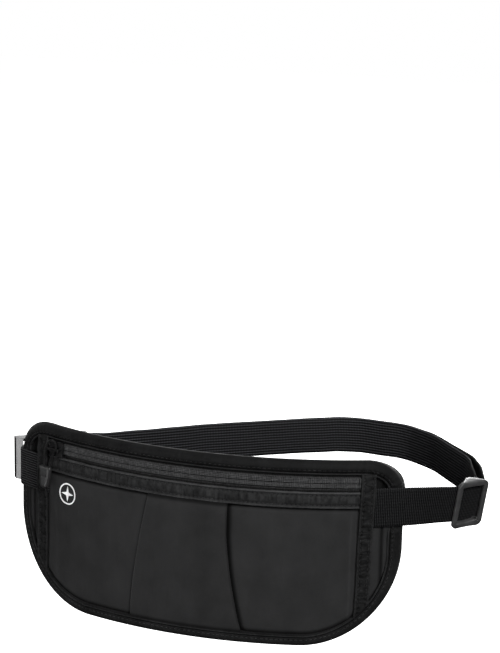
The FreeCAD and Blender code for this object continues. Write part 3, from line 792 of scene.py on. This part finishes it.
def all_stitches():
    for word, share in (("upper", 0.8), ("lower", 0.2)):
        z = lerp(*FACING_Z, share)
        path = []
        for arc in np.linspace(-104.0, 104.0, 400):
            depth = facing_depth(arc, z)[0] - 0.1
            path.append((along_front(arc, z, depth), outward(on_arc(arc))))
        stitch_row("facing_stitches_" + word, path)
    for side, word in SIDES.items():
        for across, edge in ((-0.55, "inner"), (0.55, "outer")):
            path = []
            for z in np.linspace(-60.0, 21.0, 200):
                arc = tape_arc(side, across, (z + 62.0) / 85.0)
                depth = band_depth(side, across, z)[0] - 0.08
                path.append((along_front(arc, z, depth), outward(on_arc(arc))))
            stitch_row("tape_stitches_%s_%s" % (word, edge), path, radius=0.2)
    points, normals = outline(720)
    seam = []
    for (x, z), (nx, nz) in zip(points, normals):
        top = max(-nz, 0) ** 2
        inset = lerp(BINDING_WIDTH, RIM_WIDTH, top) - SEAM_INSET
        spot = pouch(x + nx * inset, z + nz * inset, -0.6 * top - 0.16)
        seam.append((z > RIM_END_Z, (spot, outward(x))))
    stitch_row("rim_stitches", [step for on_rim, step in seam if on_rim], stitch=2.3)
    from_top = seam[360:] + seam[:360]
    stitch_row("binding_stitches", [step for on_rim, step in from_top if not on_rim], stitch=2.3)


# ---- zip


def zip_tape(word, low, high):
    """A zip tape: woven, thicker where the coil is sewn on."""
    def point(up, across, inside):
        arc = lerp(-110.0, 110.0, across)
        z = lerp(low, high, up)
        over_coil = ease(4.0, 2.6, abs(z - ZIP_Z))
        turns = cos(2 * pi * arc / COIL_PITCH) * over_coil
        depth = 1.1 - 1.75 * over_coil + 0.1 * wobble(arc * 0.15, z * 0.2, 61.0) + 0.07 * turns
        # The shade is painted: painted shade under the rim and above the facing band's lip, a painted
        # highlight over the coil, and light and dark across each coil turn.
        shade = 0.9 * ease(21.0, 22.6, z) + 0.85 * ease(13.9, 12.9, z) - 0.6 * over_coil
        return along_front(arc, z, depth + inside) + (shade + 0.35 * turns,)

    sheet("tape_weave_" + word, 22, 700, 0.3, point, TAPE, "zip_tape", "zip_tape_" + word)


def zip_coil(word, side):
    """One half of the coil: a turn for each tooth, leaning along the zip, with its head at the middle."""
    end = 102.8
    first_arc = -end + 0.7 + (0.0 if side > 0 else 0.5 * COIL_PITCH)
    turn = ((2.6, 0.85, 0.28, 0.42), (2.2, 0.3, 0.22, 0.42), (1.2, 0.12, 0.05, 0.42),
            (0.5, -0.1, 0.0, 0.36), (0.25, 0.1, 0.0, 0.36))
    verts, faces = [], []
    for k in range(int(2 * end / COIL_PITCH) - 1):
        arc = first_arc + k * COIL_PITCH
        path = [Vector(along_front(arc + lean, ZIP_Z + side * reach, depth))
                for reach, depth, lean, _ in turn]
        rings = []
        for index, (point, (*_, size)) in enumerate(zip(path, turn)):
            ahead = (path[min(index + 1, len(path) - 1)] - path[max(index - 1, 0)]).normalized()
            first = ahead.orthogonal().normalized()
            second = ahead.cross(first)
            rings.append([tuple(point + (first * cos(a) + second * sin(a)) * size)
                          for a in circle(6)])
        add_tube(verts, faces, rings)
    place(make_object("coil_teeth_" + word, verts, faces, COIL), "pouch", "zip_coil", "zip_coil_" + word)


# ---- pieces from the design's solids


def wedged(co):
    """Slopes the front of the buckle's end bar away to its outer edge."""
    bar = 4.3
    x, y = unturned(1000 * co.x, 1000 * co.y, BUCKLE_HEADING, BUCKLE_END)
    if x < bar and y < 0:
        y *= 1 - 0.8 * (bar - x) / bar
    px, py = in_buckle(x, y)
    return Vector((0.001 * px, 0.001 * py, co.z))


def refined(name, node_name, material, body, slot, bevel, segments, height=1.0, wedge=False):
    """A rounded copy of a design solid: same shape, with softened edges."""
    source = design(node_name)
    mesh = source.data.copy()
    mesh.name = name
    mesh.materials.clear()
    mesh.materials.append(material)
    work = bmesh.new()
    work.from_mesh(mesh)
    low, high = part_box(node_name)
    middle = (low[2] + high[2]) / 2
    for vertex in work.verts:
        vertex.co.z = middle + (vertex.co.z - middle) * height
        if wedge:
            vertex.co = wedged(vertex.co)
    bmesh.ops.remove_doubles(work, verts=work.verts, dist=1e-6)
    bmesh.ops.dissolve_limit(work, angle_limit=radians(2), verts=work.verts, edges=work.edges)
    sharp = [e for e in work.edges if len(e.link_faces) == 2 and e.calc_face_angle() > radians(30)]
    bmesh.ops.bevel(work, geom=sharp, offset=bevel * 0.001, segments=segments, profile=0.6,
                    affect="EDGES", clamp_overlap=True)
    bmesh.ops.recalc_face_normals(work, faces=work.faces)
    work.to_mesh(mesh)
    work.free()
    mesh.polygons.foreach_set("use_smooth", [True] * len(mesh.polygons))
    thing = shown(name, mesh)
    thing.matrix_world = source.matrix_world.copy()
    thing.modifiers.new("shade", "WEIGHTED_NORMAL")
    place(thing, body, slot, node_name)


# ---- webbing


def strap_point(x, y, z):
    """From the strap's level plan to how it hangs."""
    x, z = spun(x, z, STRAP_TILT)
    return x, y, z + STRAP_LIFT


def in_buckle(x, y):
    return turned(x, y, BUCKLE_HEADING, BUCKLE_END)


def in_adjuster(x, y):
    return turned(x, y, ADJUSTER_HEADING, ADJUSTER_CENTRE)


def settle(x, y, z):
    """The strap turns and leans a little at the adjuster, whose top comes forward."""
    share = ease(56.0, 8.0, dist((x, y), ADJUSTER_CENTRE))
    if share == 0:
        return x, y, z
    along, left = unturned(x, y, ADJUSTER_HEADING, ADJUSTER_CENTRE)
    left, z = spun(left, z, ADJUSTER_LEAN * share)
    return *in_adjuster(*spun(along, left, ADJUSTER_YAW * share)), z


def rounded_path(points, radii, step):
    """Evenly spaced plan points along straight runs joined by tangent arcs."""
    path = [Vector(p) for p in points]
    line = [path[0]]
    for index, radius in enumerate(radii, 1):
        before = (path[index] - path[index - 1]).normalized()
        after = (path[index + 1] - path[index]).normalized()
        turn = atan2(before.x * after.y - before.y * after.x, before.dot(after))
        begin = path[index] - before * (radius * tan(abs(turn) / 2))
        centre = begin + Vector((-before.y, before.x)) * copysign(radius, turn)
        steps = max(int(abs(turn) * radius / 0.4), 4)
        for k in range(steps + 1):
            line.append(centre + Matrix.Rotation(turn * k / steps, 2) @ (begin - centre))
    line.append(path[-1])
    return even_line(line, step)


def webbing_mesh(name, path, drift=None, material=None, inner_from=None, rib_height=0.1):
    """Webbing on edge along plan points, with ribs across it and scalloped edges.

    drift(length, across) gives how far a point strays in height and sideways. Past the length
    inner_from the strap is the inner layer and shows its other face.
    """
    width, thick = WEBBING
    shares = [lerp(-1.0, 1.0, k / 24) for k in range(25)]
    section = [(across, 1) for across in shares] + [(across, -1) for across in reversed(shares)]
    data = np.array(path, float)
    rings, uvs = [], []
    for index, (point, length) in enumerate(zip(data, run_lengths(data))):
        ahead = data[min(index + 1, len(data) - 1)] - data[max(index - 1, 0)]
        ahead /= np.linalg.norm(ahead)
        left = np.array([-ahead[1], ahead[0]])
        wave = cos(2 * pi * length / RIB_PITCH)
        ring = []
        for across, side in section:
            edge = max(abs(across) - 0.93, 0.0) / 0.07
            body = thick / 2 * sqrt(max(1 - edge * edge, 0.02)) + rib_height * wave * (1 - edge)
            z = across * (width / 2 + 0.14 * wave)
            raised, aside = drift(length, across) if drift else (0.0, 0.0)
            spot = point + left * (side * body + aside)
            ring.append(strap_point(*settle(*spot, z + raised)))
            uvs.append((length, z))
        rings.append(ring)
    verts, faces = [], []
    add_tube(verts, faces, rings)
    thing = make_object(name, verts, faces, material or WEB)
    layer = thing.data.uv_layers.new(name="strap")
    for loop in thing.data.loops:
        layer.data[loop.index].uv = uvs[loop.vertex_index]
    if inner_from:
        thing.data.materials.append(WEB_INNER)
        for face in thing.data.polygons:
            face.material_index = int(uvs[face.vertices[0]][0] > inner_from)
    return thing


def sewn_end(first, last):
    """Plan points of a webbing's end, sewn along the pouch's front between two arc positions."""
    return [along_front(arc, 0, SEWN_DEPTH)[:2] for arc in np.linspace(first, last, 30)]


def outer_route():
    """Plan corners and radii of the webbing from the pouch's right end to the buckle's bar."""
    arc = 125.0
    entry_x = 158.7
    x, y, _ = along_front(arc, 0, SEWN_DEPTH)
    points = [(entry_x, y + (entry_x - x) * tan(arc / RADIUS)), (171.4, -34.7), (167.0, -8.0),
              (158.0, 17.0), (125.5, 62.5), (102.5, 81.5), (60.5, 87.5), (22.5, 66.0), (-31.5, 31.0)]
    return points, [RUN_RADIUS, 9.0, 50.0, 60.0, 60.0, 38.0, 45.0, 200.0, 150.0]


def shifted_left(points, distance):
    """Corners of the line that runs at a distance to the left of a line."""
    path = [Vector(p) for p in points]
    heads = [(b - a).normalized() for a, b in zip(path, path[1:])]
    moved = []
    for point, before, after in zip(path, heads[:1] + heads, heads + heads[-1:]):
        beside = Vector((-before.y, before.x))
        normal = (beside + Vector((-after.y, after.x))).normalized()
        moved.append(tuple(point + normal * (distance / normal.dot(beside))))
    return moved


def main_strap():
    """One webbing: from the pouch, through the adjuster, round the buckle's bar and back."""
    sewn = sewn_end(105.5, 125.0)
    corners, radii = outer_route()
    bar = PLUG_BAR_X
    loop = LOOP_RADIUS
    fold = [in_buckle(61.0, 0.0), in_buckle(53.0, loop), in_buckle(bar - loop, loop),
            in_buckle(bar - loop, -loop), in_buckle(53.0, -loop), in_buckle(61.0, -LAYER_STEP)]
    fold_radii = [20.0, 20.0, loop, loop, 20.0, 20.0]
    inner = shifted_left(corners[4:] + [in_buckle(85.0, 0.0)], LAYER_STEP)[:-1]
    inner = inner[::-1] + [(153.5, 17.0), (157.6, 6.4)]
    inner_radii = [150.0, 200.0, 43.4, 36.4, 58.4, 30.0]
    route = sewn[-1:] + corners + fold + inner
    path = rounded_path(route, radii + fold_radii + inner_radii, 0.3)
    even = even_line(sewn[:-1] + path, PATH_STEP)

    def drift(length, across):
        free = ease(30.0, 60.0, length)
        sway = 0.35 * wobble(length * 0.016, 71.0) + 0.1 * wobble(length * 0.07, 73.0)
        return sway * free, 0.12 * wobble(length * 0.05, across * 0.7, 75.0) * free

    fold_at = min(range(len(even)), key=lambda k: dist(even[k], in_buckle(bar - loop, 0.0)))
    thing = webbing_mesh("waist_strap", even, drift, inner_from=fold_at * PATH_STEP)
    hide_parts("strap_front_run", "strap_outer_layer", "strap_inner_layer", "strap_buckle_loop")
    far = in_buckle(170.0, 0.0)
    near = in_buckle(58.0, 0.0)
    metres(strap_point(*far, 0.0))
    metres(strap_point(*near, 0.0))
    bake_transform(thing)


def adjuster_return():
    """The webbing's sewn end round the adjuster's centre bar."""
    loop = LOOP_RADIUS - 0.1
    near, far = ADJUSTER_BAR_Y - loop, ADJUSTER_BAR_Y + loop
    route = [in_adjuster(4.0, near), in_adjuster(-loop, near), in_adjuster(-loop, far),
             in_adjuster(9.3, far), (157.75, 6.0)]
    thing = webbing_mesh("strap_return_end", rounded_path(route, [loop, loop, 5.0], PATH_STEP))
    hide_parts("strap_adjuster_end")
    start = metres(strap_point(157.5, 6.0, 0.0))
    end = metres(strap_point(*in_adjuster(6.0, far), 0.0))
    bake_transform(thing)


def tab_strap():
    """The short webbing on the left that holds the buckle's socket."""
    sewn = sewn_end(-105.5, -128.0)
    loop = LOOP_RADIUS
    left, right = SOCKET_BAR_X - loop, SOCKET_BAR_X + loop
    route = [sewn[-1], (-126.85, -64.2), in_buckle(left, -5.0), in_buckle(left, loop),
             in_buckle(right, loop), in_buckle(right, -7.0)]
    path = even_line(sewn[:-1] + rounded_path(route, [2.5, 4.0, loop, loop], PATH_STEP), PATH_STEP)
    thing = webbing_mesh("buckle_tab_webbing", path, material=TAB_WEB, rib_height=0.02)
    place(thing, "pouch", "webbing", "buckle_tab")


def squared(angle):
    """A point on a circle squeezed outwards towards a square."""
    return [copysign(abs(c) ** 0.45, c) for c in (cos(angle), sin(angle))]


def adjuster_frame():
    """The tri-glide: a rounded frame whose top and bottom rails reach back to the centre bar."""
    half_x, half_z, corner = 11.3, 16.1, 3.8
    loop = []
    for index, (sx, sz) in enumerate(((1, 1), (-1, 1), (-1, -1), (1, -1))):
        for k in range(11):
            a = pi / 2 * (index + k / 10)
            loop.append((sx * (half_x - corner), sz * (half_z - corner), cos(a), sin(a)))
    dense = [[lerp(a, b, k / 4) for a, b in zip(current, following)]
             for current, following in zip(loop, loop[1:] + loop[:1]) for k in range(4)]
    section = circle(24)
    verts = []
    for cx, cz, nx, nz in dense:
        size = hypot(nx, nz)
        nx, nz = nx / size, nz / size
        bar = 3.2 + 0.6 * nz * nz
        if nz < 0:
            bar += 2.1 * nz * nz * ease(2.0, 6.6, cx)
        x = cx + nx * (corner - bar / 2)
        z = cz + nz * (corner - bar / 2)
        rail = nz * nz * ease(6.6, 2.0, abs(x))
        front = -3.3 + 0.25 * nz * nz
        back = lerp(-0.9, 4.4, rail)
        for a in section:
            wide, deep = squared(a)
            wide *= bar / 2
            spot = in_adjuster(x + nx * wide, (front + back) / 2 + deep * (back - front) / 2)
            verts.append(strap_point(*settle(*spot, z + nz * wide)))
    faces = tube_faces(len(dense), len(section), closed=True)
    rings = []
    for z in np.linspace(-14.6, 14.6, 25):
        wide = 1.5 + 0.5 * ease(12.5, 14.5, abs(z))
        middle = ADJUSTER_BAR_Y - 0.2 * (wide - 1.5)
        spots = [in_adjuster(wide * cos(a), middle + 1.3 * sin(a)) for a in circle(20)]
        rings.append([strap_point(*settle(*spot, z)) for spot in spots])
    add_tube(verts, faces, rings)
    place(make_object("adjuster_frame", verts, faces, SATIN), "adjuster", "adjuster_plastic", "adjuster")


# ---- zip pull and mark


def at_slider(x, depth, z):
    """From the slider's own frame to its place on the zip."""
    spot = along_front(SLIDER_ARC, 0, 0)
    return *turned(x, depth, SLIDER_ARC / RADIUS, spot), ZIP_Z + z


def pull_cord():
    curve = bpy.data.curves.new("pull_cord", "CURVE")
    curve.dimensions = "3D"
    curve.bevel_depth = CORD_RADIUS * 0.001
    curve.bevel_resolution = 4
    curve.use_fill_caps = True
    curve.resolution_u = 16
    spline = curve.splines.new("NURBS")
    points = [at_slider(x, CORD_Y, z) for x, z in PULL_LEGS]
    spline.points.add(len(points) - 1)
    for control, point in zip(spline.points, points):
        control.co = (*metres(point), 1.0)
    spline.order_u = 3
    spline.use_endpoint_u = True
    curve.materials.append(CORDAGE)
    thing = shown("pull_cord_loop", curve)
    place(thing, "pull", "pull_cord", "zip_pull_cord")
    metres(points[0])


def grip_ring(loop, size, depth, ribs):
    """One ring of the grip, shrunk to size; ribs is (height, pitch, first, full) of its finger ribs."""
    centre = np.array([-8.3, -6.6])
    height, pitch, first, full = ribs
    ring = []
    for point in loop:
        x, z = centre + (np.array(point) - centre) * size
        rib = height * max(sin(z * pitch), 0.0) * ease(first, full, z)
        ring.append(at_slider(x, GRIP_FRONT + depth + rib, GRIP_Z + z))
    return ring


def shrunk(size):
    return np.array([1 - (1 - size) * 0.9, 1 - (1 - size) * 0.55])


def pull_grip():
    """A moulded tongue with soft edges and fine finger ribs."""
    outline_points = [(-12.3, 0.0), (-7.8, 0.35), (-3.3, 0.0), (-3.4, -3.8), (-4.5, -9.2), (-5.5, -12.8),
                      (-7.2, -14.3), (-9.6, -14.5), (-11.6, -13.6), (-12.5, -11.0), (-12.7, -6.5),
                      (-12.6, -3.0)]
    loop = catmull(outline_points, 6, closed=True)
    front = 0.72
    rings = [grip_ring(loop, shrunk(front) * size / front, -0.12, (0.22, 2.6, -4.0, -5.5))
             for size in (0.1, 0.24, 0.42, 0.6)]
    for depth, size in ((0.0, front), (0.25, 0.9), (0.7, 0.985), (1.4, 1.0),
                        (2.1, 0.985), (2.6, 0.92), (2.9, 0.8)):
        rib_height = 0.16 if depth < 1.0 else 0.0
        rings.append(grip_ring(loop, shrunk(size), depth, (rib_height, 3.4, -4.5, -6.0)))
    verts, faces = [], []
    add_tube(verts, faces, rings)
    return place(make_object("pull_grip", verts, faces, PULL), "pull", "pull_plastic", "zip_pull_grip")


def printed_mark():
    """A ring with a four-pointed compass star, printed on the left panel."""
    centre_x = on_arc(-88.6)
    centre_z = -10.9
    verts, faces = [], []

    def add_sheet(points):
        base = len(verts)
        for lift in (0.05, 0.3):
            for x, z in points:
                depth = panel_depth(centre_x + x, centre_z + z)[0] - lift
                verts.append(pouch(centre_x + x * 0.93, centre_z + z, depth))
        return base

    steps = 72
    base = add_sheet([spun(radius, 0.0, a) for radius in (6.1, 7.0) for a in circle(steps)])
    for k in range(steps):
        n = (k + 1) % steps
        low = [base + k, base + n, base + steps + n, base + steps + k]
        high = [v + 2 * steps for v in low]
        faces += [tuple(low), tuple(reversed(high)), (low[0], low[1], high[1], high[0]),
                  (low[3], low[2], high[2], high[3])]
    tips = 8
    star = [spun(1.5 if k % 2 else 5.0, 0.0, a) for k, a in enumerate(circle(tips))]
    base = add_sheet([(0.0, 0.0)] + star)
    top = base + tips + 1
    for k in range(tips):
        a, b = 1 + k, 1 + (k + 1) % tips
        faces += [(base, base + a, base + b), (top, top + b, top + a),
                  (base + a, base + b, top + b, top + a)]
    thing = make_object("printed_compass_mark", verts, faces, INK, smooth=False)
    place(thing, "pouch", "print_ink", "printed_mark")


# ---- build


edge_piece("rim_padding", lambda z: z > RIM_END_Z, RIM, "rim_fabric", "padded_rim")
edge_piece("binding_tape", lambda z: z <= RIM_END_Z, TRIM, "trim_fabric", "edge_binding")
side_panel(-1)
side_panel(1)
pleat()
facing_band()
side_tape(-1)
side_tape(1)
back_cloth()
all_stitches()
zip_tape("lower", 8.2, 17.72)
zip_tape("upper", 18.28, 24.2)
zip_coil("lower", -1)
zip_coil("upper", 1)
main_strap()
adjuster_return()
tab_strap()
grip = pull_grip()
pull_cord()
printed_mark()
refined("slider_body", "zip_slider", ENAMEL, "slider", "zip_metal", 0.35, 2)
adjuster_frame()
refined("socket_body", "buckle_socket", GLOSS, "pouch", "buckle_plastic", 0.6, 3, height=0.91, wedge=True)
refined("plug_body", "buckle_plug", GLOSS, "plug", "buckle_plastic", 0.6, 3, height=0.91)
refined("latch_upper_body", "latch_arm_upper", GLOSS, "latch_up", "buckle_plastic", 0.4, 2)
refined("latch_lower_body", "latch_arm_lower", GLOSS, "latch_low", "buckle_plastic", 0.4, 2)

for kept_name, kept_material in (("back_padding", PADDING), ("pocket_lining", LINING),
                                 ("zip_top_stops", ENAMEL), ("zip_bottom_stop", ENAMEL)):
    kept = design(kept_name)
    kept.data.materials.clear()
    kept.data.materials.append(kept_material)


# ---- stage, lights and camera


def stage():
    made, _, shader = surface("studio_floor", 0.9, 0.0, 0.1)
    white = (1, 1, 1, 1)
    set_inputs(shader, Base_Color=(0.9, 0.9, 0.9, 1), Emission_Color=white, Emission_Strength=1.0)
    drop, reach, far = 160.0, 6000.0, 9000.0
    corners = ((-reach, -reach), (reach, -reach), (reach, far), (-reach, far))
    verts = [(x, y, BOTTOM - drop) for x, y in corners]
    floor = make_object("studio_floor", verts, [(0, 1, 2, 3)], made, smooth=False)
    floor.visible_diffuse = False
    floor.visible_glossy = False
    world = bpy.data.worlds.new("studio")
    world.use_nodes = True
    set_inputs(world.node_tree.nodes["Background"], Color=white, Strength=1.0)
    world.cycles_visibility.diffuse = False
    world.cycles_visibility.glossy = False
    bpy.context.scene.world = world


def area_light(name, place_at, aim, size, power):
    data = bpy.data.lights.new(name, "AREA")
    data.shape = "RECTANGLE"
    data.size, data.size_y = size
    data.energy = power
    lamp = shown(name, data)
    lamp.location = place_at
    lamp.rotation_euler = (Vector(aim) - Vector(place_at)).to_track_quat("-Z", "Y").to_euler()


def camera():
    """The view: a little above and to the right, one metre away."""
    yaw, pitch, roll = (radians(a) for a in (15.0118, 12.1458, 2.425))
    back = Vector((sin(yaw) * cos(pitch), -cos(yaw) * cos(pitch), sin(pitch)))
    right = Vector((cos(yaw), sin(yaw), 0))
    up = back.cross(right)
    level = right * cos(roll) + up * sin(roll)
    rise = up * cos(roll) - right * sin(roll)
    data = bpy.data.cameras.new("view")
    data.sensor_fit = "AUTO"
    data.sensor_width = 36.0
    data.lens = 88.48392
    data.clip_end = 50.0
    thing = shown("view", data)
    turn = Matrix((level, rise, back)).transposed().to_4x4()
    thing.matrix_world = Matrix.Translation(Vector((0.2749, -0.9994, 0.3140))) @ turn
    bpy.context.scene.camera = thing


stage()
MIDDLE = (0.0, 0.0, 0.0)
for lamp_values in (
        ("key", (0.95, -1.35, 1.15), MIDDLE, (0.6, 0.5), 40.0),
        ("front", (0.2, -1.9, 0.2), MIDDLE, (0.9, 0.6), 10.0),
        ("fill", (-1.6, -1.1, 0.4), MIDDLE, (0.8, 0.8), 6.0),
        ("top", (0.1, 0.5, 1.5), MIDDLE, (1.4, 0.6), 6.0),
        ("back", (0.05, 1.6, 0.6), MIDDLE, (1.5, 0.5), 24.0),
        ("back_left", (-1.4, 1.3, 0.5), MIDDLE, (1.9, 1.5), 12.0),
        ("back_right", (1.6, 1.1, 0.5), MIDDLE, (1.9, 1.5), 8.0),
        ("glint", (-0.518, -0.59, -0.19), (-0.137, -0.05, 0.0), (0.16, 0.2), 0.95)):
    area_light(*lamp_values)
camera()
bpy.context.scene.view_settings.view_transform = "Standard"
